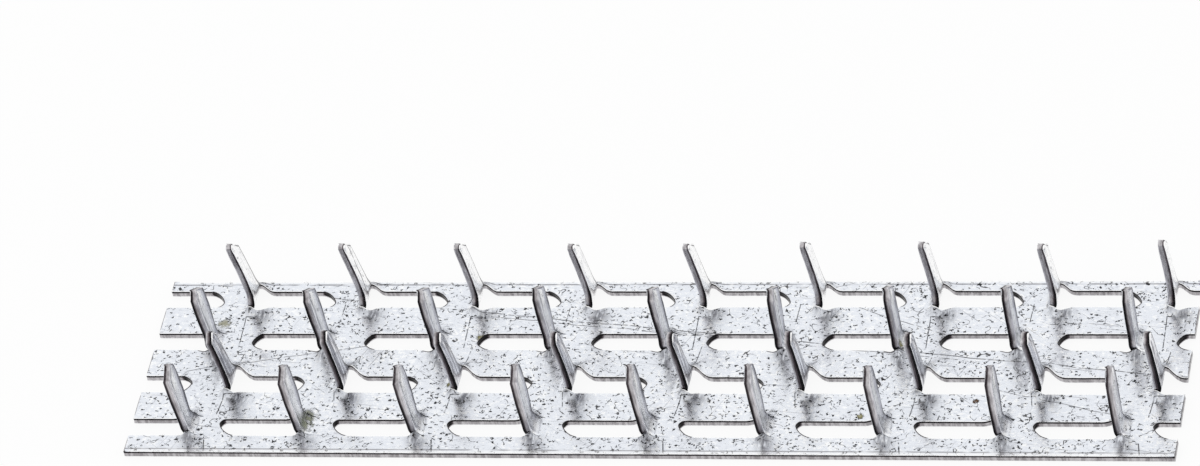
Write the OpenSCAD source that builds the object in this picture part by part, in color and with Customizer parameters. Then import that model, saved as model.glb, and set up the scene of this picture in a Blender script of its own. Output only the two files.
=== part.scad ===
// Truss nail plate: one galvanised steel sheet with four rows of teeth pressed up out of it.
// Each tooth is the tongue of metal from one slot, folded upright at one end of that slot.
// X runs along the plate, Y across it and Z up the teeth.
// The origin is at the middle of the flat back, which lies on Z = 0.

/* [Plate] */
// Length of the plate
plate_l = 114.3; // [60:0.1:240]
// Width of the plate
plate_w = 25.4; // [24:0.1:60]
// Thickness of the sheet
sheet_t = 0.8; // [0.5:0.05:1]

/* [Rows of teeth] */
// Number of rows across the plate
tooth_rows = 4; // [2:2:4]
// Distance from one tooth to the next along a row
tooth_pitch = 12.7; // [12.4:0.1:18]
// Distance from one row to the next
row_pitch = 6.35; // [5.6:0.05:6.8]
// Distance along the plate between the teeth of neighbouring rows
row_stagger = 4.2; // [3.6:0.1:5]
// How far the pattern lies towards +X from the middle of the plate
pattern_shift_x = 1.85; // [0:0.05:3]
// How far the pattern lies towards +Y from the middle of the plate
pattern_shift_y = 0.5; // [0:0.05:0.6]
// Least metal between a tooth's fold and the end of the plate
end_land = 0.6; // [0.3:0.1:2]

/* [Slots] */
// Width of every slot
slot_w = 2.3; // [2:0.05:2.6]
// Open length of a slot in the two outer rows, from the tooth's face to the point
outer_slot_l = 8.8; // [8:0.1:9.2]
// Open length of a slot in the inner rows
inner_slot_l = 7.8; // [7:0.1:8.8]
// Length of the wider part beside the root of an outer tooth
outer_flare_l = 1.6; // [1:0.1:2.4]
// Extra width beside the root of an outer tooth, on each side
outer_flare_w = 0.45; // [0.2:0.05:0.6]
// Length of the wider part beside the root of an inner tooth
inner_flare_l = 2.1; // [1:0.1:3]
// Extra width beside the root of an inner tooth, on the side towards the middle of the plate
inner_flare_w = 1; // [0.5:0.05:1.1]

/* [Slot points] */
// Length of an outer slot's cut corner on the side towards the plate's edge
outer_corner_edge = 1.5; // [1:0.1:2]
// Length of an outer slot's cut corner on the side towards the plate's middle
outer_corner_mid = 0.4; // [0.2:0.1:0.8]
// How far an outer slot's point lies off its middle line, towards the plate's middle
outer_point_off = 0.55; // [0:0.05:0.7]
// Length of an inner slot's cut corner on the side towards the plate's edge
inner_corner_edge = 0.85; // [0.5:0.05:1.2]
// Length of an inner slot's cut corner on the side towards the plate's middle
inner_corner_mid = 1.15; // [0.8:0.05:1.6]
// How far an inner slot's point lies off its middle line, towards the plate's middle
inner_point_off = 0.15; // [0:0.05:0.5]
// Radius on the very point
point_r = 0.3; // [0.1:0.05:0.4]

/* [Teeth] */
// Inside radius of the fold at a tooth's root
fold_r = 1; // [0.8:0.05:1.4]
// Gap that the shears leave on each side of a tooth's root
shear_gap = 0.06; // [0.04:0.01:0.1]
// Height over which the wide root narrows to the blade
root_rise = 0.9; // [0.5:0.1:1.5]
// How much the blade narrows from its root to its point
blade_taper = 0.35; // [0.1:0.05:0.5]
// Radius of the hollow pressed along a tooth
dish_r = 2.6; // [2.2:0.1:4]
// Depth of that hollow at the point of the tooth
dish_depth = 0.25; // [0.1:0.05:0.3]

/* [Hidden] */
steel = "#d5d9de";
// A round surface is cut into this many pieces when it is drawn
smooth = 48;
// Steps in the small arc on a point
point_steps = 3;
// Outside radius of the fold, which is also how far a tooth's face stands from its fold line
fold_out = fold_r + sheet_t;
// Sheet that the fold uses up, measured along its middle layer
fold_use = PI / 2 * (fold_r + sheet_t / 2);
// Height of the fold's upper end, where the straight blade starts
blade_z = sheet_t + fold_r;
// Overlap that makes cutters pass right through
past = 1;
// Columns to try on each side of the middle, enough to run past both ends
columns_each_way = ceil(plate_l / 2 / tooth_pitch) + 2;

// Each kind of tongue: open length, flare length, flare width towards the plate's edge,
// flare width towards its middle, cut corner towards the edge, cut corner towards the middle,
// and how far the point lies off the middle line.
outer_kind = [
    outer_slot_l, outer_flare_l, outer_flare_w, outer_flare_w,
    outer_corner_edge, outer_corner_mid, outer_point_off
];
inner_kind = [
    inner_slot_l, inner_flare_l, 0, inner_flare_w,
    inner_corner_edge, inner_corner_mid, inner_point_off
];

function open_l(kind) = kind[0];
function flare_l(kind) = kind[1];
function flare_edge(kind) = kind[2];
function flare_mid(kind) = kind[3];
function corner_edge(kind) = kind[4];
function corner_mid(kind) = kind[5];
function point_off(kind) = kind[6];

// The blade is as long as the rest of its tongue, once the fold has used up its share.
function blade_l(kind) = fold_out + open_l(kind) - fold_use;

// The taper is on the side that has the longer cut corner.
function taper_edge(kind) = corner_edge(kind) > corner_mid(kind) ? blade_taper : 0;
function taper_mid(kind) = blade_taper - taper_edge(kind);

function unit(v) = v / norm(v);

// Points of an arc of radius r that rounds the corner b between a and c.
function rounded(a, b, c, r) =
    let (
        u = unit(a - b),
        v = unit(c - b),
        half = acos(u * v) / 2,
        centre = b + unit(u + v) * r / sin(half),
        from = b + u * r / tan(half) - centre,
        turn = 180 - 2 * half,
        way = sign(u.x * v.y - u.y * v.x)
    )
    [
        for (k = [0 : point_steps])
            let (t = -way * turn * k / point_steps)
            centre + [from.x * cos(t) - from.y * sin(t), from.x * sin(t) + from.y * cos(t)]
    ];

// Pointed end shared by a slot and its tooth, from the side towards the plate's edge round to
// the side towards its middle. It ends at x = reach, and half_edge and half_mid are the widths
// of its two sides from the middle line.
function pointed_end(kind, reach, half_edge, half_mid) =
    let (
        edge_side = [reach - corner_edge(kind), half_edge],
        point = [reach, -point_off(kind)],
        mid_side = [reach - corner_mid(kind), -half_mid]
    )
    concat([edge_side], rounded(edge_side, point, mid_side, point_r), [mid_side]);

// Which way a row's slots run from their fold lines: 1 is towards +X.
function row_way(row) = row % 2 == 0 ? 1 : -1;
// On which side of a row the nearer long edge of the plate lies: 1 is towards +Y.
function row_edge(row) = row < tooth_rows / 2 ? 1 : -1;
function row_kind(row) = row == 0 || row == tooth_rows - 1 ? outer_kind : inner_kind;
function row_y(row) = pattern_shift_y + ((tooth_rows - 1) / 2 - row) * row_pitch;
// Fold line of a tooth, counted along its row from the one nearest the middle.
function fold_x(row, i) =
    pattern_shift_x + i * tooth_pitch + row_way(row) * (row_stagger / 2 - fold_out);
// A tooth is there only when its fold line and its face both lie on the plate.
function on_plate(x) = abs(x) < plate_l / 2 - end_land;
function has_tooth(row, i) =
    on_plate(fold_x(row, i)) && on_plate(fold_x(row, i) + row_way(row) * fold_out);

// Puts a child made for a tongue that runs towards +X, with the plate's edge towards +Y,
// at one place in a row.
module at_tongue(row, i) {
    translate([fold_x(row, i), row_y(row), 0])
        mirror([row_way(row) < 0 ? 1 : 0, 0, 0])
            mirror([0, row_edge(row) < 0 ? 1 : 0, 0])
                children();
}

// Opening that a tongue leaves, from its fold line at x = 0 to its point.
module slot_outline(kind) {
    half = slot_w / 2;
    root_edge = half + flare_edge(kind);
    root_mid = half + flare_mid(kind);
    flare_end = fold_out + flare_l(kind);
    polygon(concat(
        [[0, -root_mid], [0, root_edge], [fold_out, root_edge], [flare_end, half]],
        pointed_end(kind, fold_out + open_l(kind), half, half),
        [[flare_end, -half], [fold_out, -root_mid]]
    ));
}

// Upright outline of a tooth above its fold: X here is height, Y is across the tooth.
module blade_outline(kind) {
    half = slot_w / 2 - shear_gap;
    root_edge = half + flare_edge(kind);
    root_mid = half + flare_mid(kind);
    polygon(concat(
        [[0, -root_mid], [0, root_edge], [root_rise, half]],
        pointed_end(kind, blade_l(kind), half - taper_edge(kind), half - taper_mid(kind)),
        [[root_rise, -half]]
    ));
}

// Quarter turn of sheet that joins a tooth to the plate.
module fold(kind) {
    half = slot_w / 2 - shear_gap;
    root_edge = half + flare_edge(kind);
    root_mid = half + flare_mid(kind);
    translate([0, root_edge, blade_z])
        rotate([90, 0, 0])
            rotate([0, 0, -90])
                rotate_extrude(angle = 90, $fn = smooth)
                    translate([fold_r, 0])
                        square([sheet_t, root_edge + root_mid]);
}

// Round bar along a tooth that presses its hollow: it leans so that the hollow starts at the
// fold and is deepest at the point.
module dish_bar(kind, r) {
    lean = atan(dish_depth / blade_l(kind));
    translate([fold_r - dish_r, -point_off(kind) / 2, blade_z])
        rotate([0, lean, 0])
            translate([0, 0, -past])
                cylinder(r = r, h = blade_l(kind) + 2 * past, $fn = 2 * smooth);
}

// Straight part of a tooth, hollow on the side of its fold and proud on the other.
module blade(kind) {
    difference() {
        intersection() {
            translate([fold_r, 0, blade_z])
                rotate([0, -90, 0])
                    mirror([0, 0, 1])
                        linear_extrude(sheet_t + dish_depth)
                            blade_outline(kind);
            union() {
                translate([fold_r, -slot_w, blade_z])
                    cube([sheet_t, 2 * slot_w, blade_l(kind)]);
                dish_bar(kind, dish_r + sheet_t);
            }
        }
        dish_bar(kind, dish_r);
    }
}

module tooth(kind) {
    fold(kind);
    blade(kind);
}

module slotted_sheet() {
    linear_extrude(sheet_t)
        difference() {
            square([plate_l, plate_w], center = true);
            for (row = [0 : tooth_rows - 1])
                for (i = [-columns_each_way : columns_each_way])
                    at_tongue(row, i)
                        slot_outline(row_kind(row));
        }
}

module nail_plate() {
    color(steel) {
        slotted_sheet();
        for (row = [0 : tooth_rows - 1])
            for (i = [-columns_each_way : columns_each_way])
                if (has_tooth(row, i))
                    at_tongue(row, i)
                        tooth(row_kind(row));
    }
}

nail_plate();
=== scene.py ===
"""Looks of the truss nail plate: a stamped, galvanised sheet with teeth folded out of it."""

import math
import random

import bpy
import numpy as np
from mathutils import Matrix, Vector, noise
from mathutils.geometry import delaunay_2d_cdt


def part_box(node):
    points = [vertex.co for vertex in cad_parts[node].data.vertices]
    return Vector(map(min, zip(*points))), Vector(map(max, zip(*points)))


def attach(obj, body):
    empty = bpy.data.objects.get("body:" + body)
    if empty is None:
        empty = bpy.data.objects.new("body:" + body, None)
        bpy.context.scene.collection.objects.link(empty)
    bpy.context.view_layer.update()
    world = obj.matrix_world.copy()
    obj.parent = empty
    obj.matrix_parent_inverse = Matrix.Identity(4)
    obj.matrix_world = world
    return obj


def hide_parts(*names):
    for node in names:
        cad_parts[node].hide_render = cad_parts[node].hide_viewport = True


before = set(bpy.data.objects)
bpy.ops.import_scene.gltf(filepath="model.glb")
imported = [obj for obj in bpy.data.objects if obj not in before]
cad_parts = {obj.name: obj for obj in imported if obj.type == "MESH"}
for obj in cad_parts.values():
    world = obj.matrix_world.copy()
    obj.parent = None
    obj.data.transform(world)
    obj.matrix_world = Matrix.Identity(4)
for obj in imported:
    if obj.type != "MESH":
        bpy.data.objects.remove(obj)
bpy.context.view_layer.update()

# ---------------------------------------------------------------- sizes, in millimetres

MM = 0.001
NODE = "nail_plate"
node_low, node_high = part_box(NODE)
PLATE_L = (node_high.x - node_low.x) / MM
PLATE_W = (node_high.y - node_low.y) / MM
SHEET_T = 0.8

TOOTH_PITCH = 12.7
ROW_PITCH = 6.35
ROW_STAGGER = 4.2
PATTERN_SHIFT_X = 1.85
PATTERN_SHIFT_Y = 0.5
ROWS = 4
# Columns to try on each side of the middle one, enough to run past both ends of the plate.
COLUMNS_EACH_WAY = 6
END_LAND = 0.6

SLOT_W = 2.3
SHEAR_GAP = 0.06
POINT_R = 0.3
FOLD_R = 1.0
FOLD_OUT = FOLD_R + SHEET_T
FOLD_MID = FOLD_R + SHEET_T / 2
FOLD_USE = math.pi / 2 * FOLD_MID
ROOT_RISE = 0.9
BLADE_TAPER = 0.35
DISH_DEPTH = 0.25

# The two kinds of tongue: open length of the slot, length and widths of the wider part beside
# the root, the two cut corners of the point, and how far the point lies off the middle line.
OUTER = dict(open_l=8.8, flare_l=1.6, flare_edge=0.45, flare_mid=0.45,
             corner_edge=1.5, corner_mid=0.4, point_off=0.55)
INNER = dict(open_l=7.8, flare_l=2.1, flare_edge=0.0, flare_mid=1.0,
             corner_edge=0.85, corner_mid=1.15, point_off=0.15)

# How much wider the inner slots that run towards -X open in front of their roots.
TORN_FLARE = 0.35

# How far the tips stand out of the upright: all of them, more of it the way that their fold has
# turned them, and outwards towards the two ends of the plate.
TIP_LEAN_X = -0.5
TIP_LEAN_Y = -0.15
TIP_OVERBEND = 0.38
TIP_OUTWARD = 0.35
TIP_Z = (node_high.z - node_low.z) / MM
# How far a tooth is turned about its own length, in radians: on the rows that run towards -X,
# how much of that is gained or lost towards the plate's ends, and on the other rows.
TWIST_LEFTWARD = 0.13
TWIST_TO_END = 0.08
TWIST_RIGHTWARD = 0.05
# How much further up the root of a tooth stays wide behind a tooth that leans back over it.
ROOT_HELD = 0.7

# Beside its root a tooth drags the sheet up with it: how far from the fold line it stays joined,
# how far beyond that the sheet is still raised, and how far out to each side.
DRAG_JOINED = 0.96
DRAG_BEYOND = 1.2
DRAG_ASIDE = 0.85
# How much further it is held up behind the teeth that lean back over it.
DRAG_HELD = 0.8
DRAG_TOP = FOLD_R - math.sqrt(FOLD_R ** 2 - DRAG_JOINED ** 2)
# The share of the fold's own rise that the sheet beside it reaches, and behind the other teeth.
DRAG_SHARE = 0.97
DRAG_SHARE_TORN = 0.85

# Painted shade in front of each root, for the tooth's dark reflection in the sheet: its middle
# from the root's corner, its slant, and how far it spreads along the plate and across it.
SHADE_MIDDLE = (0.65, -0.6)
SHADE_SLANT = 0.2
SHADE_SPREAD = (0.9, 1.3)
# Painted shade on the dragged-up sheet beside teeth that run towards +X, and beside the others.
DRAG_PAINTED_SHADE = {1: 0.9, -1: 0.6}

# How far in from a sheared edge the flat faces of the sheet begin.
FACE_INSET = 0.12
# Spacing of points along a slot's straight sides, and the nearest that one comes to where the
# plate's end cuts the slot.
EDGE_STEP = 0.55
CUT_CLEAR = 0.25
# Spacing of points inside the sheet, and the nearest that they come to its outlines beside the
# roots and elsewhere.
SHEET_STEP = 0.95
ROOT_CLEAR = 0.26
SHEET_CLEAR = 0.45
# Steps across a tooth.
TOOTH_COLUMNS = 10

# Section of a sheared edge, from the burr side round to the side that the shear rolled over:
# inset from the edge, height as a share of the thickness, how much it is bare sheared metal
# (below 0 it is a painted highlight, a white line along the burr), and how torn that is on the
# sheet and on a tooth.
SHEAR_SECTION = [
    (FACE_INSET, 1.000, -0.1, 0.0, 0.0),
    (0.045, 1.000, -0.5, 0.0, 0.0),
    (0.012, 1.022, -0.2, 0.3, 0.3),
    (0.000, 0.985, 1.0, 1.0, 1.5),
    (0.022, 0.740, 1.0, 1.0, 1.35),
    (0.022, 0.660, 1.0, 0.15, 0.85),
    (0.014, 0.450, 1.0, 0.3, 0.55),
    (0.000, 0.340, 1.0, 0.2, 0.5),
    (0.000, 0.200, 1.0, 0.1, 0.0),
    (0.022, 0.100, 1.0, 0.1, 0.0),
    (0.062, 0.030, 0.6, 0.0, 0.0),
    (FACE_INSET, 0.000, 0.0, 0.0, 0.0),
]
LAST = len(SHEAR_SECTION) - 1
# The same for the plate's own edge, which was slit: how bare (below 0, a painted highlight) and how
# torn each step of it is.
SLIT_SECTION = [
    (-0.2, 0.0), (-0.5, 0.0), (-0.4, 0.0), (0.6, 0.7), (1.0, 1.0), (1.0, 0.25),
    (1.0, 0.2), (1.0, 0.2), (1.0, 0.2), (1.0, 0.2), (0.6, 0.2), (0.0, 0.0),
]
# And for the plate's two ends, which were cut off with a dark rim.
CUT_SECTION = [
    (0.0, 0.0), (0.8, 0.4), (1.0, 0.7), (1.0, 1.0), (1.0, 0.9), (1.0, 0.3),
    (1.0, 0.2), (1.0, 0.2), (1.0, 0.2), (1.0, 0.2), (0.6, 0.2), (0.0, 0.0),
]
# How torn the sheared edges of the teeth are, row by row from the back.
ROW_TORN = (0.72, 0.70, 1.0, 0.62)

draw = random.Random(11)


def smooth(x):
    """0 to 1 with level ends."""
    x = min(max(x, 0.0), 1.0)
    return x * x * (3 - 2 * x)


def mix(a, b, t):
    return a + (b - a) * t


# ---------------------------------------------------------------- tongues


class Tongue:
    """One tongue of metal: its slot, and the tooth that it is folded into.

    s is measured along the tongue from its fold line, v across it, positive towards the
    plate's nearer long edge, and h through the sheet, from 0 at the back to 1 at the front.
    """

    def __init__(self, row, column):
        self.torn = ROW_TORN[row]
        self.kind = OUTER if row in (0, ROWS - 1) else INNER
        self.way = 1 if row % 2 == 0 else -1
        self.edge = 1 if row < ROWS / 2 else -1
        self.y = PATTERN_SHIFT_Y + ((ROWS - 1) / 2 - row) * ROW_PITCH
        self.x = (PATTERN_SHIFT_X + column * TOOTH_PITCH
                  + self.way * (ROW_STAGGER / 2 - FOLD_OUT))
        self.reach = FOLD_OUT + self.kind["open_l"]
        self.tooth_reach = self.reach - draw.uniform(0.02, 0.14)
        self.tilt = math.radians(draw.gauss(0.0, 0.8))
        self.lean = math.radians(draw.gauss(0.0, 0.7))
        to_end = self.x / (PLATE_L / 2)
        twist = TWIST_LEFTWARD - TWIST_TO_END * to_end if self.way < 0 else TWIST_RIGHTWARD
        self.twist = math.radians(draw.gauss(0.0, 1.2)) - self.edge * twist
        self.dish = DISH_DEPTH * draw.uniform(0.75, 1.0)
        self.tip_lean = TIP_LEAN_X - TIP_OVERBEND * self.way + TIP_OUTWARD * to_end
        half = SLOT_W / 2 - SHEAR_GAP
        on_edge = self.kind["corner_edge"] > self.kind["corner_mid"]
        self.root_half = half
        self.tip_half = (half - BLADE_TAPER * on_edge, half - BLADE_TAPER * (not on_edge))
        self.tooth_point = self.point_arc()

    def flat(self, s, v):
        """Where (s, v) lies on the flat sheet."""
        return (self.x + self.way * s, self.y + self.edge * v)

    def own(self, xy):
        """The (s, v) of a place on the flat sheet."""
        return (xy[0] - self.x) * self.way, (xy[1] - self.y) * self.edge

    def has_tooth(self):
        ends = (self.x, self.x + self.way * FOLD_OUT)
        return all(abs(x) < PLATE_L / 2 - END_LAND for x in ends)

    def turned(self):
        """True where the tongue's own frame is a mirror image of the plate's."""
        return self.way * self.edge < 0

    def corner(self, side):
        """Length of the cut corner on the edge side (0) or the mid side (1)."""
        return self.kind["corner_edge"] if side == 0 else self.kind["corner_mid"]

    def point_arc(self):
        """Centre and touching points of the small arc on the tooth's point."""
        reach, halves = self.tooth_reach, self.tip_half
        tip = Vector((reach, -self.kind["point_off"]))
        to_edge = (Vector((reach - self.corner(0), halves[0])) - tip).normalized()
        to_mid = (Vector((reach - self.corner(1), -halves[1])) - tip).normalized()
        half_angle = to_edge.angle(to_mid) / 2
        centre = tip + (to_edge + to_mid).normalized() * POINT_R / math.sin(half_angle)
        run = POINT_R / math.tan(half_angle)
        return centre, tip + to_edge * run, tip + to_mid * run

    def pointed(self, s, side):
        """Distance of the tooth's side from its middle line, near its point."""
        sign = 1 if side == 0 else -1
        centre, touch = self.tooth_point[0], self.tooth_point[1 + side]
        if s > touch.x:
            rise = math.sqrt(max(POINT_R ** 2 - (s - centre.x) ** 2, 0.0))
            return sign * centre.y + rise
        tip_v = -self.kind["point_off"] * sign
        return mix(self.tip_half[side], tip_v, (s - self.shoulder(side)) / self.corner(side))

    def flare(self, side):
        """Extra width beside the root. Slots that run towards -X open less in front of it."""
        if self.way < 0 and side == self.front_side():
            return TORN_FLARE if self.kind is INNER else 0.0
        return self.kind["flare_edge"] if side == 0 else self.kind["flare_mid"]

    def front_side(self):
        """Which of the tongue's sides is towards -Y."""
        return 1 if self.edge > 0 else 0

    def held(self, side):
        """True behind a tooth that leans back over its root, which stays joined for longer."""
        return self.way > 0 and side != self.front_side()

    def slot_v(self, s, side):
        """Distance of the slot's side from its middle line."""
        if s < self.slot_bend():
            past = (s - FOLD_OUT) / self.kind["flare_l"]
            return SLOT_W / 2 + self.flare(side) * (1 - smooth(past))
        tip_v = self.kind["point_off"] * (-1 if side == 0 else 1)
        shoulder = self.slot_shoulder(side)
        near = min(max((s - shoulder) / (self.reach - shoulder), 0), 1)
        return mix(tip_v, SLOT_W / 2, (1 - near ** 1.8) ** 0.7)

    def slot_shoulder(self, side):
        """Where the slot's side starts to curve in to the point."""
        return self.reach - 1.2 * self.corner(side) - 0.1

    def slot_bend(self):
        return FOLD_OUT + self.kind["flare_l"]

    def tooth_v(self, s, side):
        """Distance of the tooth's side from its middle line."""
        gap = SHEAR_GAP * smooth(s / 0.4)
        start = FOLD_USE + ROOT_RISE
        top = start + (ROOT_HELD if self.held(side) else 0.0)
        if s < top:
            rise = smooth((s - FOLD_USE + 0.35) / (top - FOLD_USE + 0.35))
            half = SLOT_W / 2 - gap - 0.02 * smooth((s - start) / ROOT_HELD)
            return half + self.flare(side) * (1 - rise)
        along = (s - start) / (self.tooth_reach - start)
        half = mix(self.root_half, self.tip_half[side], along)
        return min(half, self.pointed(s, side)) if s > self.shoulder(side) else half

    def shoulder(self, side):
        """Where the tooth's side starts to run in to the point."""
        return self.tooth_reach - self.corner(side)

    def lift(self, xy):
        """How far the fold drags up the sheet beside the root."""
        s, v = self.own(xy)
        side = 0 if v > 0 else 1
        level = DRAG_JOINED + (DRAG_HELD if self.held(side) else 0.0)
        if not (0 < s < level + DRAG_BEYOND and abs(v) < 4 and self.has_tooth()):
            return 0.0
        beside = max(abs(v) - SLOT_W / 2 - self.flare(side), 0.0)
        rise = FOLD_R - math.sqrt(FOLD_R ** 2 - min(s, DRAG_JOINED) ** 2)
        fall = 1 - smooth((s - level) / DRAG_BEYOND)
        torn = self.way < 0 and side != self.front_side()
        share = DRAG_SHARE_TORN if torn else DRAG_SHARE
        return share * rise * fall * math.exp(-((beside / DRAG_ASIDE) ** 2))

    def dulled(self, xy):
        """How much painted shade lies beside the root, mostly in front of it: the tooth's dark
        reflection.
        """
        if not self.has_tooth():
            return 0.0
        foot_x = self.x + self.way * FOLD_OUT
        foot_y = self.y - SLOT_W / 2 - self.flare(self.front_side())
        slant = SHADE_SLANT * (xy[1] - foot_y)
        off_x = (xy[0] - foot_x - SHADE_MIDDLE[0] + slant) / SHADE_SPREAD[0]
        off_y = (xy[1] - foot_y - SHADE_MIDDLE[1]) / SHADE_SPREAD[1]
        shade_spot = math.exp(-off_x * off_x - off_y * off_y)
        return max(shade_spot, DRAG_PAINTED_SHADE[self.way] * self.lift(xy) / DRAG_TOP)

    def rows(self):
        """Where the cross rows of the tooth's grid lie along it."""
        fold = [FOLD_USE * k / 12 for k in range(1, 13)]
        root = [FOLD_USE + ROOT_RISE * k / 4 for k in range(1, 5)]
        first = min(self.shoulder(0), self.shoulder(1))
        blade = [mix(root[-1], first, k / 12) for k in range(1, 13)]
        end = self.tooth_point[0].x + POINT_R - 0.012
        tip = [mix(first, end, 1 - (1 - k / 9) ** 1.5) for k in range(1, 10)]
        return fold + root + blade + tip

    def thickness(self, s):
        """The point is squeezed thinner than the sheet."""
        thin = smooth((s - self.tooth_reach + 1.6) / 1.6)
        return SHEET_T * (1 - 0.15 * thin)

    def hollow(self, s, v):
        """How far the hollow pressed along the tooth pushes its middle layer outwards."""
        on_tooth = min(max(s, 0.0), self.tooth_reach - 0.1)
        edge_v, mid_v = self.tooth_v(on_tooth, 0), self.tooth_v(on_tooth, 1)
        across = (2 * v - edge_v + mid_v) / (edge_v + mid_v)
        along = smooth((s - 0.35 * FOLD_USE) / 2.2)
        depth = self.dish * along * mix(0.6, 1.0, s / self.tooth_reach)
        return depth * max(1 - across * across, 0.0)

    def fold_up(self, s, v, h):
        """A point of the folded tongue, in millimetres."""
        y = self.y + self.edge * v
        if s <= 0:
            return Vector((self.x + self.way * s, y, h * SHEET_T))
        rise = (h - 0.5) * mix(SHEET_T, self.thickness(s), smooth((s - FOLD_USE) / 2))
        radius = FOLD_MID - rise + self.hollow(s, v)
        turn = min(s / FOLD_USE, 1.0) * math.pi / 2
        out = radius * math.sin(turn)
        z = SHEET_T / 2 + FOLD_MID - radius * math.cos(turn)
        up = max(s - FOLD_USE, 0.0)
        out += self.tilt * up + self.twist * smooth(up / 4.5) * v
        bent = (up / TIP_Z) ** 1.3
        x = self.x + self.way * out + self.tip_lean * bent
        y += self.lean * up * smooth(up / 2) + TIP_LEAN_Y * bent
        return Vector((x, y, z + up))


def tongues():
    """Every tongue whose slot reaches the plate, row by row from the back."""
    found = []
    for row in range(ROWS):
        for column in range(-COLUMNS_EACH_WAY, COLUMNS_EACH_WAY + 1):
            tongue = Tongue(row, column)
            ends = sorted((tongue.x, tongue.x + tongue.way * tongue.reach))
            if ends[1] > -PLATE_L / 2 and ends[0] < PLATE_L / 2:
                if tongue.has_tooth() or min(abs(ends[0]), abs(ends[1])) < PLATE_L / 2:
                    found.append(tongue)
    return found


# ---------------------------------------------------------------- outlines


class Corner:
    """One point of a sheared outline on the flat sheet.

    share is 1 on a tooth, 0 on the sheet and 0.5 where they meet. The outward direction and how
    far a bend stretches it come from set_outward, and the rest from SheetMesh.wall.
    """

    def __init__(self, xy, tongue=None, share=0.0, sv=None):
        self.xy = Vector(xy)
        self.tongue = tongue
        self.share = share
        self.sv = sv
        self.out = self.miter = None
        self.face_xy = self.front = self.back = None


def spread(start, end, step):
    """Values from start to end, both included, about step apart."""
    count = max(1, round(abs(end - start) / step))
    return [mix(start, end, k / count) for k in range(count + 1)]


def slot_side(tongue, side, s_from, s_to):
    """Outline of one side of a slot, as (s, v) pairs from s_from to s_to."""
    sign = 1 if side == 0 else -1
    stops = [0.0, 0.12, 0.4, 0.62, 0.8, 1.0, 1.35, FOLD_OUT]
    stops += spread(FOLD_OUT, tongue.slot_bend(), 0.3)[1:]
    curve = tongue.slot_shoulder(side)
    stops += spread(tongue.slot_bend(), curve, EDGE_STEP)[1:]
    end = tongue.reach - (0.004 if side == 0 else 0.02)
    stops += [mix(curve, end, math.sin(k * math.pi / 18)) for k in range(1, 10)]
    low, high = min(s_from, s_to), max(s_from, s_to)
    low_cut = [low] if low > 0 else []
    high_cut = [high] if high < tongue.reach else []
    least, most = low + CUT_CLEAR * len(low_cut), high - CUT_CLEAR * len(high_cut)
    found = low_cut + [s for s in stops if least <= s <= most] + high_cut
    if s_from > s_to:
        found.reverse()
    return [(s, sign * tongue.slot_v(s, side)) for s in found]


def tooth_outline(tongue):
    """Outline of a tooth, as (s, v) pairs from its mid side round to its edge side."""
    rows = tongue.rows()
    mid = [(s, -tongue.tooth_v(s, 1)) for s in rows]
    edge = [(s, tongue.tooth_v(s, 0)) for s in rows]
    low, high = mid[-1][1], edge[-1][1]
    tip = [(rows[-1], mix(low, high, k / TOOTH_COLUMNS)) for k in range(1, TOOTH_COLUMNS)]
    return mid + tip + edge[::-1]


def corners_of(tongue, pairs, share):
    return [Corner(tongue.flat(*p), tongue, share, p) for p in pairs]


def set_outward(loop):
    """Gives each corner the flat direction that points out of the metal beside it."""
    count = len(loop)
    for k, corner in enumerate(loop):
        before, after = loop[k - 1].xy, loop[(k + 1) % count].xy
        a = (corner.xy - before).normalized()
        b = (after - corner.xy).normalized()
        right = Vector((a.y + b.y, -a.x - b.x))
        if right.length < 0.3:
            right = Vector((corner.tongue.way, 0.0))
        corner.out = right.normalized()
        corner.miter = 1 / max(right.length / 2, 0.5)


# ---------------------------------------------------------------- the sheet's mesh


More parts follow.
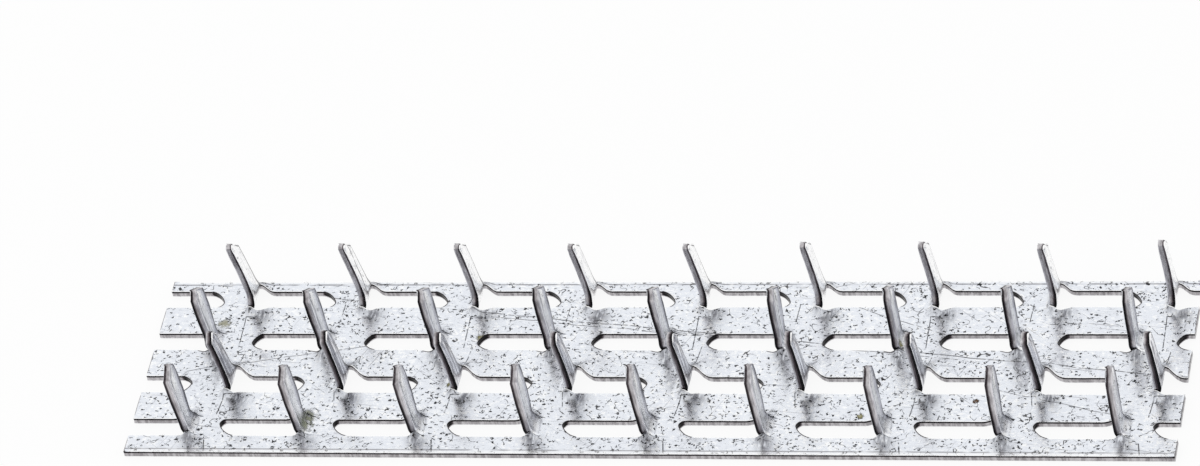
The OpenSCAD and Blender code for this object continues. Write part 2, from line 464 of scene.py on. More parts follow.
class SheetMesh:
    """Vertices and faces of the folded sheet.

    Each vertex says how bare and how torn the steel is there (below 0, bare marks a painted
    highlight along a burr), how far along the fold it lies, whether it is on a tooth's inner face,
    where it lies across the tooth, from -1 in front to 1 behind, and how much painted shade lies
    there.
    """

    LAYERS = ("bare_or_highlight", "torn", "folded", "inner", "across", "dulled")

    def __init__(self):
        self.points, self.layers, self.faces = [], [], []

    def add(self, point, bare_or_highlight=0.0, torn=0.0, folded=0.0, inner=0.0, across=0.0, dulled=0.0):
        self.points.append(point)
        self.layers.append((bare_or_highlight, torn, folded, inner, across, dulled))
        return len(self.points) - 1

    def place(self, corner, inset, h):
        """A point beside an outline, moved in from it by inset."""
        flat = corner.xy - corner.out * inset * corner.miter
        tongue = corner.tongue
        if tongue is None or corner.share == 0.0:
            lift = tongue.lift(flat) if tongue else 0.0
            return Vector((flat.x, flat.y, h * SHEET_T + lift)), flat
        point = tongue.fold_up(*tongue.own(flat), h)
        point.z = max(point.z, 0.0)
        return point, flat

    def wear(self, corner):
        """How bare and how torn the sheared edge is left, and how dark its rim is.

        The zinc still covers the edge beside a fold, a tooth is torn more towards its root, and
        the pointed end of each slot has a dark rim. A painted shadow line runs along the crease
        in front of the roots of the inner teeth that run towards -X.
        """
        tongue = corner.tongue
        if tongue is None:
            return (1.0, 1.0), 0.0
        s, v = corner.sv
        if corner.share:
            covered = smooth((s - 0.2) / 1.9)
            grown = mix(1.15, 0.85, min(s / tongue.tooth_reach, 1.0))
            return (covered, tongue.torn * grown), 0.0
        side = 0 if v > 0 else 1
        rim = smooth((s - tongue.slot_shoulder(side) + 0.1) / 0.5)
        covered = smooth((s + 0.2) / 1.2)
        if tongue.way < 0:
            covered = smooth((s - 1.3) / 0.7)
            # Painted shadow: a dark line along the crease where the sheet is lifted beside the
            # root.
            if side == tongue.front_side() and tongue.kind is INNER:
                rim = max(rim, smooth((s - 0.6) / 0.4) * smooth((3.2 - s) / 0.6))
        return (covered, 1.0), rim

    def on_tooth(self, corner):
        """How far along the fold a corner of an outline lies, and on which side of the tooth."""
        if corner.share < 1.0:
            return 0.0, 0.0
        s, v = corner.sv
        return min(s / FOLD_USE, 1.0), math.copysign(1.0, v * corner.tongue.edge)

    def wall(self, loop):
        """The sheared edge all round one outline. It gives the corners their mesh points."""
        columns = []
        for corner in loop:
            column = []
            fresh, rim = self.wear(corner)
            wobble = 0.018 * noise.noise(Vector((corner.xy.x, corner.xy.y, 0)) * 2.3)
            for k in range(LAST + 1):
                plate = SHEAR_SECTION[k][:4]
                inset, h, bare_or_highlight, _, torn = SHEAR_SECTION[LAST - k]
                tooth = (inset, 1 - h, bare_or_highlight, torn)
                inset, h, bare_or_highlight, torn = (mix(p, t, corner.share) for p, t in zip(plate, tooth))
                if corner.tongue is None:
                    at_end = abs(corner.xy.x) > PLATE_L / 2 - 0.01
                    bare_or_highlight, torn = CUT_SECTION[k] if at_end else SLIT_SECTION[k]
                bare_or_highlight, torn = bare_or_highlight * fresh[0], torn * fresh[1]
                if k < 3 and rim > 0.2:
                    bare_or_highlight = torn = rim * (0.4, 1.0, 1.0)[k]
                elif k < 8:
                    torn = max(torn, 0.95 * rim)
                if 0 < k < LAST:
                    inset = mix(0.3 * inset, inset, fresh[0]) + wobble
                    rough = Vector((corner.xy.x * 3.1, corner.xy.y * 3.1, h * 2))
                    inset += 0.02 * torn * (0.5 + noise.noise(rough))
                point, flat = self.place(corner, max(inset, 0.0), h)
                folded, across = self.on_tooth(corner)
                on_sheet = corner.tongue and corner.share < 1.0
                # painted shade beside the roots, for the teeth's dark reflection
                dulled = corner.tongue.dulled(flat) if on_sheet else 0.0
                inner = float(h > 0.5)
                column.append(self.add(point, bare_or_highlight, torn, folded, inner, across, dulled))
                if k == 0:
                    corner.face_xy = flat
            corner.front, corner.back = column[0], column[LAST]
            columns.append(column)
        for a, b in zip(columns, columns[1:] + columns[:1]):
            for k in range(LAST):
                self.faces.append((a[k], a[k + 1], b[k + 1], b[k]))

    def tooth(self, tongue, start, sides, end):
        """The front and back skins of a tooth, between the corners of its outline.

        start and end are its corners on the fold line, and sides is the outline between them,
        from the mid side round to the edge side. Returns the points along the fold line.
        """
        rows = len(tongue.rows())
        mids, edges = sides[:rows], sides[-rows:][::-1]
        tip = sides[rows:-rows]
        grid = []
        fold_line = []
        for r in range(rows + 1):
            left = start if r == 0 else mids[r - 1]
            right = end if r == 0 else edges[r - 1]
            line = [(left.front, left.back)]
            for c in range(1, TOOTH_COLUMNS):
                if r == rows:
                    corner = tip[c - 1]
                    line.append((corner.front, corner.back))
                    continue
                flat = left.face_xy.lerp(right.face_xy, c / TOOTH_COLUMNS)
                s, v = tongue.own(flat)
                folded = min(s / FOLD_USE, 1.0)
                across = (2 * c / TOOTH_COLUMNS - 1) * tongue.edge
                pair = tuple(
                    self.add(tongue.fold_up(s, v, h), 0.0, 0.0, folded, h, across)
                    for h in (1.0, 0.0)
                )
                line.append(pair)
                if r == 0:
                    fold_line.append((flat, pair))
            line.append((right.front, right.back))
            grid.append(line)
        for low, high in zip(grid, grid[1:]):
            for c in range(TOOTH_COLUMNS):
                quad = (low[c], low[c + 1], high[c + 1], high[c])
                front = tuple(p[0] for p in quad)
                back = tuple(p[1] for p in reversed(quad))
                if not tongue.turned():
                    front, back = front[::-1], back[::-1]
                self.faces += [front, back]
        return fold_line

    def build(self, name):
        mesh = bpy.data.meshes.new(name)
        mesh.from_pydata([p * MM for p in self.points], [], self.faces)
        for title, values in zip(self.LAYERS, zip(*self.layers)):
            layer = mesh.attributes.new(title, "FLOAT", "POINT")
            layer.data.foreach_set("value", values)
        mesh.polygons.foreach_set("use_smooth", [True] * len(mesh.polygons))
        mesh.set_sharp_from_angle(angle=math.radians(42))
        mesh.update()
        return mesh


def inside(points, edges):
    """Which of the points lie inside the closed outlines that the edges make, taken together."""
    x, y = points[:, 0:1], points[:, 1:2]
    found = np.zeros(len(points), bool)
    for k in range(0, len(edges), 400):
        a, b = edges[k:k + 400, 0], edges[k:k + 400, 1]
        level = (a[:, 1] > y) != (b[:, 1] > y)
        run = np.where(b[:, 1] == a[:, 1], 1e-12, b[:, 1] - a[:, 1])
        crossing = a[:, 0] + (y - a[:, 1]) * (b[:, 0] - a[:, 0]) / run
        found ^= (np.count_nonzero(level & (x < crossing), axis=1) % 2).astype(bool)
    return found


def kept_points(points, others, least, walls):
    """The points that lie on the sheet and at least so far from the others."""
    gap = np.min(np.linalg.norm(points[:, None] - others[None], axis=2), axis=1)
    return points[(gap > least) & inside(points, walls)]


def root_points(found):
    """Closely spaced points beside the roots, where the sheet is dragged up."""
    points = []
    for tongue in found:
        for side in (0, 1):
            start = SLOT_W / 2 + tongue.flare(side)
            for i in range(10):
                for j in range(4):
                    s = -0.15 + 0.34 * i + 0.17 * (j % 2)
                    v = (start + 0.3 + 0.38 * j) * (1 if side == 0 else -1)
                    points.append(tongue.flat(s, v))
    return np.array(points)


def fill_sheet(sheet, rings, toothed):
    """Fills the flat part of the sheet, front and back, between rings of (xy, (front, back))."""
    flat, pairs, edges = [], [], []
    for ring in rings:
        first = len(flat)
        flat += [xy for xy, _ in ring]
        pairs += [pair for _, pair in ring]
        edges += [(first + k, first + (k + 1) % len(ring)) for k in range(len(ring))]
    outline = np.array(flat)
    walls = outline[np.array(edges)]
    close = kept_points(root_points(toothed), outline, ROOT_CLEAR, walls)
    grid = []
    for j in range(int(PLATE_W / SHEET_STEP) + 1):
        for i in range(int(PLATE_L / SHEET_STEP) + 1):
            x = -PLATE_L / 2 + (i + 0.5 * (j % 2)) * SHEET_STEP + draw.uniform(-0.1, 0.1)
            y = -PLATE_W / 2 + j * SHEET_STEP + draw.uniform(-0.1, 0.1)
            grid.append((x, y))
    grid = kept_points(np.array(grid), np.vstack((outline, close)), SHEET_CLEAR, walls)
    for xy in np.vstack((close, grid)):
        lift = max(tongue.lift(xy) for tongue in toothed)
        # painted shade beside the roots, for the teeth's dark reflection
        dulled = max(tongue.dulled(xy) for tongue in toothed)
        flat.append(Vector(xy))
        front = sheet.add(Vector((*xy, SHEET_T + lift)), dulled=dulled)
        pairs.append((front, sheet.add(Vector((*xy, lift)))))
    found, _, triangles, origin, _, _ = delaunay_2d_cdt(flat, edges, [], 0, 1e-7)
    assert len(found) == len(flat), "two outlines of the sheet meet"
    number = [o[0] for o in origin]
    shapes = np.array([[found[k] for k in t] for t in triangles])
    sides = shapes[:, 1:] - shapes[:, :1]
    areas = np.abs(np.cross(sides[:, 0], sides[:, 1])) / 2
    kept = inside(shapes.mean(axis=1), walls) & (areas > 1e-5)
    for triangle, keep in zip(triangles, kept):
        if keep:
            corners = [pairs[number[k]] for k in triangle]
            sheet.faces.append(tuple(c[0] for c in corners))
            sheet.faces.append(tuple(c[1] for c in reversed(corners)))


def nail_plate_mesh():
    """The whole plate, as one closed mesh."""
    sheet = SheetMesh()
    rings = []
    notches = {-1: [], 1: []}
    found = tongues()
    for tongue in found:
        end_way = tongue.way if abs(tongue.x + tongue.way * tongue.reach) > PLATE_L / 2 else 0
        if end_way:
            notches[end_way].append((tongue, "tooth"))
        elif tongue.has_tooth():
            rings.append(closed_slot(sheet, tongue))
        else:
            notches[-tongue.way].append((tongue, "point"))
    rings.append(outer_edge(sheet, notches))
    fill_sheet(sheet, rings, [tongue for tongue in found if tongue.has_tooth()])
    return sheet.build(NODE + "_steel")


def closed_slot(sheet, tongue):
    """A slot with its tooth, inside the plate. Returns its ring for the flat part.

    The outline starts on the fold line at the edge side, goes round the slot to the mid side,
    and comes back round the tooth.
    """
    slot = slot_side(tongue, 0, 0.0, tongue.reach) + slot_side(tongue, 1, tongue.reach, 0.0)
    loop = corners_of(tongue, slot, 0.0) + corners_of(tongue, tooth_outline(tongue), 1.0)
    count = len(slot)
    start, end = loop[0], loop[count - 1]
    start.share = end.share = 0.5
    if tongue.turned():
        loop.reverse()
    set_outward(loop)
    sheet.wall(loop)
    if tongue.turned():
        loop.reverse()
    fold_line = sheet.tooth(tongue, end, loop[count:], start)
    ring = [(c.face_xy, (c.front, c.back)) for c in loop[:count]]
    return ring + fold_line


def outer_edge(sheet, notches):
    """The plate's own edge, with the slots that its two ends cut open."""
    loop, parts = [], []
    half_l, half_w = PLATE_L / 2, PLATE_W / 2

    def straight(a, b):
        steps = max(1, round((Vector(b) - Vector(a)).length / 0.8))
        return [Corner(Vector(a).lerp(Vector(b), k / steps)) for k in range(1, steps)]

    def notch(tongue, what, side_first):
        if what == "tooth":
            cut = (tongue.way * half_l - tongue.x) * tongue.way
            first = slot_side(tongue, side_first, cut, 0.0)
            last = slot_side(tongue, 1 - side_first, 0.0, cut)
            tooth = tooth_outline(tongue)
            if side_first == 0:
                tooth = tooth[::-1]
            part_first = corners_of(tongue, first, 0.0)
            part_tooth = corners_of(tongue, tooth, 1.0)
            part_last = corners_of(tongue, last, 0.0)
            part_first[-1].share = part_last[0].share = 0.5
            parts.append((tongue, side_first, part_first[-1], part_tooth, part_last[0]))
            return part_first + part_tooth + part_last
        cut = (-tongue.way * half_l - tongue.x) * tongue.way
        first = slot_side(tongue, side_first, cut, tongue.reach)
        last = slot_side(tongue, 1 - side_first, tongue.reach, cut)
        return corners_of(tongue, first + last, 0.0)

    def end_edge(end, upwards):
        """One end of the plate, with its notches, between the two long edges."""
        run = []
        found = sorted(notches[end], key=lambda n: n[0].y, reverse=not upwards)
        last = (end * half_l, -half_w if upwards else half_w)
        for tongue, what in found:
            front = tongue.front_side()
            part = notch(tongue, what, front if upwards else 1 - front)
            run += straight(last, part[0].xy) + part
            last = tuple(part[-1].xy)
        run += straight(last, (end * half_l, half_w if upwards else -half_w))
        return run

    loop.append(Corner((-half_l, -half_w)))
    loop += straight((-half_l, -half_w), (half_l, -half_w))
    loop.append(Corner((half_l, -half_w)))
    loop += end_edge(1, True)
    loop.append(Corner((half_l, half_w)))
    loop += straight((half_l, half_w), (-half_l, half_w))
    loop.append(Corner((-half_l, half_w)))
    loop += end_edge(-1, False)
    set_outward(loop)
    sheet.wall(loop)
    folds = {}
    for tongue, side_first, before, teeth, after in parts:
        if side_first == 0:
            line = sheet.tooth(tongue, after, teeth[::-1], before)[::-1]
        else:
            line = sheet.tooth(tongue, before, teeth, after)
        folds[id(before)] = line
    ring = []
    for corner in loop:
        if corner.share < 1.0:
            ring.append((corner.face_xy, (corner.front, corner.back)))
        if id(corner) in folds:
            ring += folds[id(corner)]
    return ring


# ---------------------------------------------------------------- materials


class Nodes:
    """Short names for the shader nodes that the materials are made of."""

    def __init__(self, tree):
        self.tree = tree

    def put(self, socket, value):
        if isinstance(value, bpy.types.NodeSocket):
            self.tree.links.new(value, socket)
        elif value is not None:
            socket.default_value = value

    def add(self, kind, *values, **settings):
        """A node whose first sockets get the values, each a number or another node's socket."""
        node = self.tree.nodes.new("ShaderNode" + kind)
        for name, value in settings.items():
            setattr(node, name, value)
        for socket, value in zip(node.inputs, values):
            self.put(socket, value)
        return node

    def maths(self, operation, *values):
        return self.add("Math", *values, operation=operation).outputs[0]

    def times(self, *values):
        return self.maths("MULTIPLY", *values)

    def vector(self, operation, *values):
        node = self.add("VectorMath", *values, operation=operation)
        return node.outputs["Value" if operation in ("LENGTH", "DOT_PRODUCT") else "Vector"]

    def ramp(self, value, low, high):
        """0 below low, 1 above high and smooth between. The other way round where low > high."""
        node = self.add("MapRange", value, low, high, 0.0, 1.0)
        node.interpolation_type = "SMOOTHSTEP"
        if low > high:
            node.inputs[1].default_value, node.inputs[2].default_value = high, low
            node.inputs[3].default_value, node.inputs[4].default_value = 1.0, 0.0
        return node.outputs[0]

    def mix(self, share, low, high):
        """A colour from low to high, each three numbers or another node's socket."""
        node = self.add("Mix", data_type="RGBA")
        self.put(node.inputs[0], share)
        for socket, colour in ((node.inputs[6], low), (node.inputs[7], high)):
            self.put(socket, (*colour, 1.0) if isinstance(colour, tuple) else colour)
        return node.outputs[2]

    def blend(self, share, low, high):
        node = self.add("Mix", share, None, low, high, data_type="FLOAT")
        return node.outputs[0]

    def noise(self, where, scale, detail=2.0, roughness=0.5, output=0):
        """Noise as one number, or as three from output 1."""
        node = self.add("TexNoise")
        self.put(node.inputs["Vector"], where)
        self.put(node.inputs["Scale"], scale)
        self.put(node.inputs["Detail"], detail)
        self.put(node.inputs["Roughness"], roughness)
        return node.outputs[output]

    def stretched(self, where, degrees, along, across):
        """Coordinates turned in the sheet's plane, with a scale along and across the turn."""
        node = self.add("Mapping")
        self.put(node.inputs["Vector"], where)
        self.put(node.inputs["Rotation"], (0.0, 0.0, math.radians(-degrees)))
        return self.vector("MULTIPLY", node.outputs[0], (along, across, 1.0))

    def cells(self, where, scale):
        node = self.add("TexVoronoi")
        self.put(node.inputs["Vector"], where)
        self.put(node.inputs["Scale"], scale)
        return node.outputs["Distance"], node.outputs["Color"]

    def layer(self, name):
        node = self.add("Attribute", attribute_name=name)
        return node.outputs["Fac"]

    def largest(self, values):
        found = values[0]
        for value in values[1:]:
            found = self.maths("MAXIMUM", found, value)
        return found

    def stroke(self, where, start, end, width):
        """A straight mark on the sheet from start to end, in millimetres."""
        run = Vector(end) - Vector(start)
        from_start = self.vector("SUBTRACT", where, (*start, 0.0))
        share = self.vector("DOT_PRODUCT", from_start, (*(run / run.length_squared), 0.0))
        share = self.add("Clamp", share).outputs[0]
        along = self.add("VectorMath", (*run, 0.0), operation="SCALE")
        self.put(along.inputs["Scale"], share)
        off = self.vector("SUBTRACT", from_start, along.outputs[0])
        return self.ramp(self.vector("LENGTH", off), width, width * 0.3)


# Marks that the press leaves on the sheet again and again, once for each stroke of the die.
DIE_STEP = 2 * TOOTH_PITCH
DIE_MARKS = [
    ((2.6, -12.5), (2.3, -10.9), 0.10),
    ((2.9, -7.1), (3.2, -4.5), 0.09),
    ((3.2, -4.5), (4.3, -4.1), 0.09),
    ((3.9, 0.2), (4.1, 2.2), 0.08),
    ((3.2, 2.8), (3.1, 7.3), 0.08),
    ((3.1, 7.3), (4.0, 7.3), 0.09),
    ((-11.5, 6.6), (-11.4, 9.2), 0.08),
    ((-9.6, -5.9), (-9.9, -3.9), 0.08),
    ((-1.3, 2.5), (-0.2, 2.05), 0.11),
    ((-0.2, 2.05), (0.7, 2.1), 0.09),
    ((11.4, 2.5), (12.5, 2.05), 0.11),
]

# Long scratches that cross the sheet.
SCRATCHES = [
    ((-48.0, 11.3), (57.0, -1.4), 0.11),
    ((-20.0, 7.4), (34.0, 0.9), 0.09),
    ((-2.0, 5.5), (13.0, 3.6), 0.09),
    ((-54.0, -1.0), (-31.0, 3.4), 0.08),
    ((20.0, 8.9), (31.0, 4.4), 0.08),
    ((36.0, -3.1), (52.0, -7.3), 0.08),
]

# Old stains: where each one is, its radius, its colour and how thick it is.
OLIVE = (0.30, 0.28, 0.13)
FILM = (0.33, 0.35, 0.25)
RUSTY = (0.12, 0.07, 0.04)
STAINS = [
    ((-38.0, -8.9), 1.3, FILM, 0.7),
    ((-37.4, -7.6), 1.0, FILM, 0.6),
    ((-22.4, -2.7), 0.55, OLIVE, 1.0),
    ((-20.5, 4.2), 0.55, OLIVE, 1.0),
    ((-50.0, 6.3), 0.75, OLIVE, 0.5),
    ((25.9, 2.8), 0.5, OLIVE, 0.9),
    ((23.0, -7.1), 0.4, OLIVE, 0.9),
    ((35.1, -4.9), 0.35, RUSTY, 1.0),
]


def zinc_colour(n, where):
    """Bright zinc: faint clouds, and fine grain drawn out along the rolled sheet."""
    clouds = n.noise(where, 0.16, 2.0)
    spangle = n.noise(where, 1.9, 4.0, 0.75)
    grain = n.noise(n.stretched(where, -7.0, 2.0, 5.5), 1.0, 2.0, 0.6)
    tone = n.maths("MULTIPLY_ADD", spangle, 0.50, n.times(clouds, 0.14))
    tone = n.maths("MULTIPLY_ADD", grain, 0.36, tone)
    pale = n.mix(n.ramp(tone, 0.35, 0.45), (0.50, 0.515, 0.56), (0.81, 0.84, 0.895))
    return n.mix(n.ramp(tone, 0.51, 0.59), pale, (0.98, 0.99, 1.0)), spangle


# Sizes of the pits: how close they lie, how rare they are, how fast they grow, the largest.
SPECKS = [(0.8, 1.20, 1.5, 0.18), (1.9, 1.10, 3.0, 0.27), (3.4, 1.06, 4.0, 0.38)]


def speck_mask(n, where):
    """Small dark pits, in three sizes, thicker in some places than in others."""
    shake = n.noise(where, 3.6, 2.0, output=1)
    offset = n.vector("SUBTRACT", shake, (0.5, 0.5, 0.5))
    moved = n.vector("ADD", where, n.vector("MULTIPLY", offset, (1.0, 0.6, 0.0)))
    crowd = n.noise(where, 0.35, 2.0)
    found = []
    for scale, bar, gain, most in SPECKS:
        distance, colour = n.cells(moved, scale)
        chance = n.add("SeparateColor", colour).outputs[0]
        least = n.maths("MULTIPLY_ADD", crowd, -0.7, bar)
        size = n.maths("MINIMUM", n.times(n.maths("SUBTRACT", chance, least), gain), most)
        found.append(n.ramp(n.maths("SUBTRACT", size, distance), -0.03, 0.03))
    return n.largest(found)


def scribble_mask(n, where):
    """Short curly marks."""
    level = n.noise(where, 0.8, 1.0)
    line = n.ramp(n.maths("ABSOLUTE", n.maths("SUBTRACT", level, 0.5)), 0.019, 0.007)
    gate = n.ramp(n.noise(where, 0.9, 1.0, 0.5), 0.55, 0.60)
    return n.times(line, gate)


def hair_scratches(n, where):
    """Faint straight hairlines in a few directions."""
    found = []
    for degrees, bar in ((-7.0, 0.71), (64.0, 0.73), (-38.0, 0.74)):
        streak = n.noise(n.stretched(where, degrees, 0.12, 5.5), 1.0, 1.0)
        found.append(n.ramp(streak, bar, bar + 0.04))
    return n.largest(found)


def stroke_masks(n, where):
    """The long scratches, and the die's marks, which repeat along the sheet."""
    wave = n.times(n.maths("SUBTRACT", n.noise(where, 0.25, 1.0), 0.5), 0.5)
    parts = n.add("SeparateXYZ", where)
    y = n.maths("ADD", parts.outputs[1], wave)
    bent = n.add("CombineXYZ", parts.outputs[0], y, 0.0).outputs[0]
    scratches = n.largest([n.stroke(bent, *mark) for mark in SCRATCHES])
    x = n.maths("WRAP", parts.outputs[0], DIE_STEP / 2, -DIE_STEP / 2)
    wrapped = n.add("CombineXYZ", x, parts.outputs[1], 0.0).outputs[0]
    die = n.largest([n.stroke(wrapped, *mark) for mark in DIE_MARKS])
    patchy = n.ramp(n.noise(where, 1.6, 2.0), 0.32, 0.5)
    return n.times(scratches, patchy), n.times(die, patchy)


def stain(n, colour, where, rough, low, centre, radius, tint, thick):
    """A broken blot with a ragged, darker edge, on the sheet but not on the teeth."""
    flat = n.vector("MULTIPLY", where, (1.0, 1.0, 0.0))
    away = n.vector("LENGTH", n.vector("SUBTRACT", flat, (*centre, 0.0)))
    ragged = n.maths("MULTIPLY_ADD", rough, radius * 2.4, away)
    broken = n.times(n.times(n.ramp(rough, 0.66, 0.5), thick), low)
    rim = n.times(n.ramp(ragged, radius * 2.3, radius * 1.9), broken)
    colour = n.mix(rim, colour, tuple(0.25 * part for part in tint))
    middle = n.times(n.ramp(ragged, radius * 2.1, radius * 1.5), broken)
    return n.mix(middle, colour, tint)


def painted_shade_colour(n, colour, where):
    """Painted shade beside the roots, standing in for the teeth's dark reflection in the sheet."""
    shade_breakup = n.noise(n.vector("MULTIPLY", where, (3.6, 0.9, 1.0)), 1.0, 2.0, 0.6)
    share = n.times(n.layer("dulled"), n.ramp(shade_breakup, 0.2, 0.58))
    return n.mix(n.times(share, 0.92), colour, (0.13, 0.13, 0.15))


def tooth_colour(n, colour, where, height):
    """Zinc drawn out along a tooth, with painted light: painted highlight and shade bands inside,
    paler outside.

    The row nearest the back edge is the brightest on its outer side: a painted reflection of the
    white floor behind it.
    """
    folded, inner, across = n.layer("folded"), n.layer("inner"), n.layer("across")
    streak = n.noise(n.vector("MULTIPLY", where, (0.8, 3.6, 0.22)), 1.0, 3.0, 0.6)
    broad = n.noise(n.vector("MULTIPLY", where, (0.7, 0.7, 0.3)), 1.0, 1.0)
    off = n.maths("MULTIPLY_ADD", streak, 0.7, -0.35)
    off = n.maths("MULTIPLY_ADD", broad, 0.6, n.maths("SUBTRACT", off, 0.3))
    aside = n.maths("ADD", across, off)
    # pale is the painted highlight down the inner face; the grays and the near black towards its
    # back side are painted shade.
    gray, pale = (0.72, 0.72, 0.76), (1.0, 1.0, 1.0)
    hollow = n.mix(n.ramp(aside, -0.85, -0.65), pale, (0.55, 0.55, 0.58))
    hollow = n.mix(n.ramp(aside, -0.55, -0.4), hollow, pale)
    hollow = n.mix(n.ramp(aside, 0.35, 0.6), hollow, gray)
    hollow = n.mix(n.ramp(aside, 0.65, 1.05), hollow, (0.15, 0.15, 0.17))
    proud = n.mix(n.ramp(streak, 0.42, 0.62), (0.30, 0.30, 0.33), (0.85, 0.86, 0.90))
    # Painted reflection: the back row's outer face is paler, as if it mirrored the white floor
    # behind.
    back_row_reflection = n.ramp(n.add("SeparateXYZ", where).outputs[1], 5.0, 6.0)
    proud = n.mix(back_row_reflection, proud, n.mix(n.ramp(streak, 0.3, 0.5), (0.8, 0.8, 0.82), pale))
    proud = n.mix(n.ramp(across, 0.68, 0.86), proud, (0.05, 0.045, 0.05))
    skin = n.mix(inner, proud, hollow)
    # Painted shade: the inner face is darker low down near the root, most on its back half.
    root = n.times(n.ramp(height, 3.0, 1.0), inner)
    root = n.times(root, n.ramp(across, -1.1, 0.0))
    skin = n.mix(n.times(root, 0.55), skin, (0.3, 0.305, 0.33))
    return n.mix(n.ramp(folded, 0.12, 0.75), colour, skin)


def sheared_colour(n, colour, where, height):
    """Bare steel of the sheared edges: cut smooth and lilac gray, or torn and nearly black.

    The upper parts of the teeth in the row nearest the back edge are torn less.
    """
    bare_or_highlight, torn = n.layer("bare_or_highlight"), n.layer("torn")
    y = n.add("SeparateXYZ", where).outputs[1]
    fair = n.times(n.ramp(height, 1.5, 5.5), n.ramp(y, 5.0, 6.0))
    torn = n.times(torn, n.blend(fair, 1.0, 0.62))
    lines = n.noise(n.vector("MULTIPLY", where, (2.4, 2.4, 0.5)), 1.0, 3.0, 0.6)
    line = n.ramp(lines, 0.35, 0.65)
    cut = n.mix(line, (0.42, 0.41, 0.44), (0.72, 0.70, 0.73))
    brown = n.mix(line, (0.30, 0.285, 0.295), (0.54, 0.525, 0.54))
    dark = n.mix(line, (0.045, 0.036, 0.041), (0.12, 0.10, 0.11))
    steel = n.mix(n.ramp(torn, 0.02, 0.2), cut, brown)
    steel = n.mix(n.ramp(torn, 0.35, 0.58), steel, dark)
    steel = n.mix(n.ramp(torn, 0.65, 0.9), steel, (0.012, 0.011, 0.012))
    # Painted highlight: a white line along the burr where bare is below 0.
    colour = n.mix(n.ramp(bare_or_highlight, -0.05, -0.3), colour, (1.0, 1.0, 1.0))
    return n.mix(n.ramp(bare_or_highlight, 0.25, 0.75), colour, steel)


def edge_line(n, where):
    """A faint line that the slitting rolls leave beside each long edge of the plate."""
    y = n.maths("ABSOLUTE", n.add("SeparateXYZ", where).outputs[1])
    off = n.maths("ABSOLUTE", n.maths("SUBTRACT", y, PLATE_W / 2 - 0.5))
    broken = n.ramp(n.noise(n.vector("MULTIPLY", where, (0.5, 2.0, 1.0)), 1.0, 2.0), 0.3, 0.55)
    return n.times(n.ramp(off, 0.13, 0.05), broken)


def galvanised_steel():
    """The plate's one material: zinc with its marks, bare steel on the sheared edges, painted
    light.
    """
    material = bpy.data.materials.new("galvanised_steel")
    material.use_nodes = True
    n = Nodes(material.node_tree)
    shader = material.node_tree.nodes["Principled BSDF"]
    place = n.add("TexCoord").outputs["Object"]
    where = n.vector("MULTIPLY", place, (1 / MM, 1 / MM, 1 / MM))
    height = n.add("SeparateXYZ", where).outputs[2]

    colour, spangle = zinc_colour(n, where)
    colour = n.mix(n.times(edge_line(n, where), 0.8), colour, (0.2, 0.2, 0.22))
    # Painted shade beside the roots, in place of the teeth's dark reflection in the sheet.
    colour = painted_shade_colour(n, colour, where)
    # Painted highlights, shade and reflection on the teeth.
    colour = tooth_colour(n, colour, where, height)
    low = n.ramp(height, 2.6, 1.4)
    for mark in STAINS:
        colour = stain(n, colour, where, spangle, low, *mark)
    hair = hair_scratches(n, where)
    colour = n.mix(n.times(hair, 0.55), colour, (0.22, 0.22, 0.24))
    scratches, die = stroke_masks(n, where)
    colour = n.mix(n.times(scratches, 0.8), colour, (0.13, 0.13, 0.14))
    colour = n.mix(n.times(die, 0.85), colour, (0.05, 0.05, 0.055))
    clean = n.blend(n.ramp(n.layer("folded"), 0.3, 0.9), 1.0, 0.3)
    scribbles = n.times(scribble_mask(n, where), clean)
    colour = n.mix(n.times(scribbles, 0.9), colour, (0.05, 0.045, 0.045))
    specks = n.times(speck_mask(n, where), clean)
    colour = n.mix(n.times(specks, 0.93), colour, (0.012, 0.012, 0.014))
    colour = sheared_colour(n, colour, where, height)
    n.put(shader.inputs["Base Color"], colour)

    marks = n.largest([specks, scribbles, die])
    rough = n.blend(n.ramp(spangle, 0.35, 0.65), 0.18, 0.32)
    rough = n.blend(n.times(n.layer("inner"), n.layer("folded")), rough, 0.28)
    n.put(shader.inputs["Roughness"], n.blend(marks, rough, 0.65))
    shader.inputs["Metallic"].default_value = 1.0

    bump = n.add("Bump")
    bump.inputs["Strength"].default_value = 0.35
    bump.inputs["Distance"].default_value = 0.00003
    n.put(bump.inputs["Height"], n.noise(where, 1.1, 2.0))
    n.put(shader.inputs["Normal"], bump.outputs[0])
    return material


def shown_white(n, shown, other):
    """The white that the camera and polished metal see, in place of the light on diffuse things."""
    path = n.add("LightPath")
    rays = n.largest([path.outputs[name] for name in
                      ("Is Camera Ray", "Is Glossy Ray", "Is Transmission Ray")])
    return n.blend(rays, other, shown)


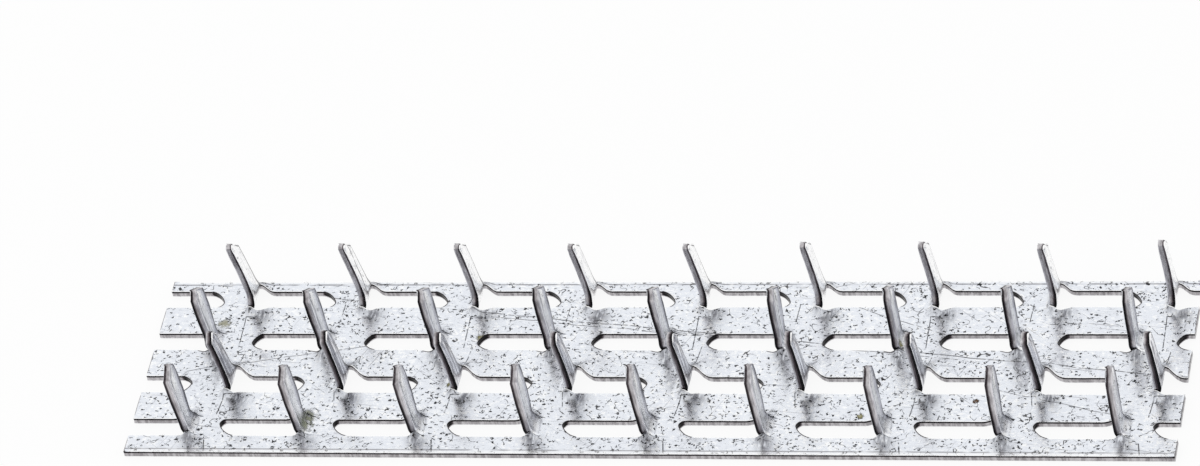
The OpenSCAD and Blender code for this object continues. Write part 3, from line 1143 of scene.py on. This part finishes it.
def floor_material():
    """White to the camera and in reflections, with some of its own shading for the shadow."""
    material = bpy.data.materials.new("white_floor")
    material.use_nodes = True
    n = Nodes(material.node_tree)
    shader = material.node_tree.nodes["Principled BSDF"]
    shader.inputs["Base Color"].default_value = (0.85, 0.85, 0.85, 1)
    shader.inputs["Roughness"].default_value = 0.9
    shader.inputs["Specular IOR Level"].default_value = 0.0
    glow = n.add("Emission", (1.0, 1.0, 1.0, 1.0), 1.0)
    both = n.add("MixShader", shown_white(n, 0.9, 0.0))
    n.put(both.inputs[1], shader.outputs[0])
    n.put(both.inputs[2], glow.outputs[0])
    n.put(material.node_tree.nodes["Material Output"].inputs["Surface"], both.outputs[0])
    return material


# ---------------------------------------------------------------- scene

mesh = nail_plate_mesh()
plate = bpy.data.objects.new("stamped_nail_plate", mesh)
bpy.context.scene.collection.objects.link(plate)
mesh.materials.append(galvanised_steel())
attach(plate, "root")
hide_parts(NODE)

world = bpy.data.worlds.new("studio")
bpy.context.scene.world = world
world.use_nodes = True
sky = world.node_tree.nodes["Background"]
sky.inputs["Color"].default_value = (1, 1, 1, 1)
world_nodes = Nodes(world.node_tree)
world_nodes.put(sky.inputs["Strength"], shown_white(world_nodes, 1.0, 0.9))

floor_mesh = bpy.data.meshes.new("floor")
floor_mesh.from_pydata([(-4, -4, 0), (4, -4, 0), (4, 4, 0), (-4, 4, 0)], [], [(0, 1, 2, 3)])
floor_mesh.materials.append(floor_material())
floor = bpy.data.objects.new("floor", floor_mesh)
floor.location.z = -0.00002
bpy.context.scene.collection.objects.link(floor)

# A large soft lamp above and to the left, which the metal does not mirror.
lamp_data = bpy.data.lights.new("softbox", "AREA")
lamp_data.shape = "RECTANGLE"
lamp_data.size = 1.2
lamp_data.size_y = 1.2
lamp_data.energy = 1.5
lamp = bpy.data.objects.new("softbox", lamp_data)
lamp.location = (-0.35, 0.1, 0.62)
lamp.rotation_euler = (Vector((0, 0, 0)) - lamp.location).to_track_quat("-Z", "Y").to_euler()
lamp.visible_glossy = False
bpy.context.scene.collection.objects.link(lamp)

# The photo's view: turned to the left, looking down, and rolled to level the long edges.
camera_data = bpy.data.cameras.new("camera")
camera = bpy.data.objects.new("camera", camera_data)
bpy.context.scene.collection.objects.link(camera)
bpy.context.scene.camera = camera
camera_data.lens = 209.4
camera.location = (0.1827, -0.4958, 0.5245)
look = Matrix.Identity(3)
for degrees, axis in ((20.5, "Z"), (90 - 43.56, "X"), (-14.64, "Z")):
    look = look @ Matrix.Rotation(math.radians(degrees), 3, axis)
camera.rotation_euler = look.to_euler()

bpy.context.scene.view_settings.view_transform = "Standard"
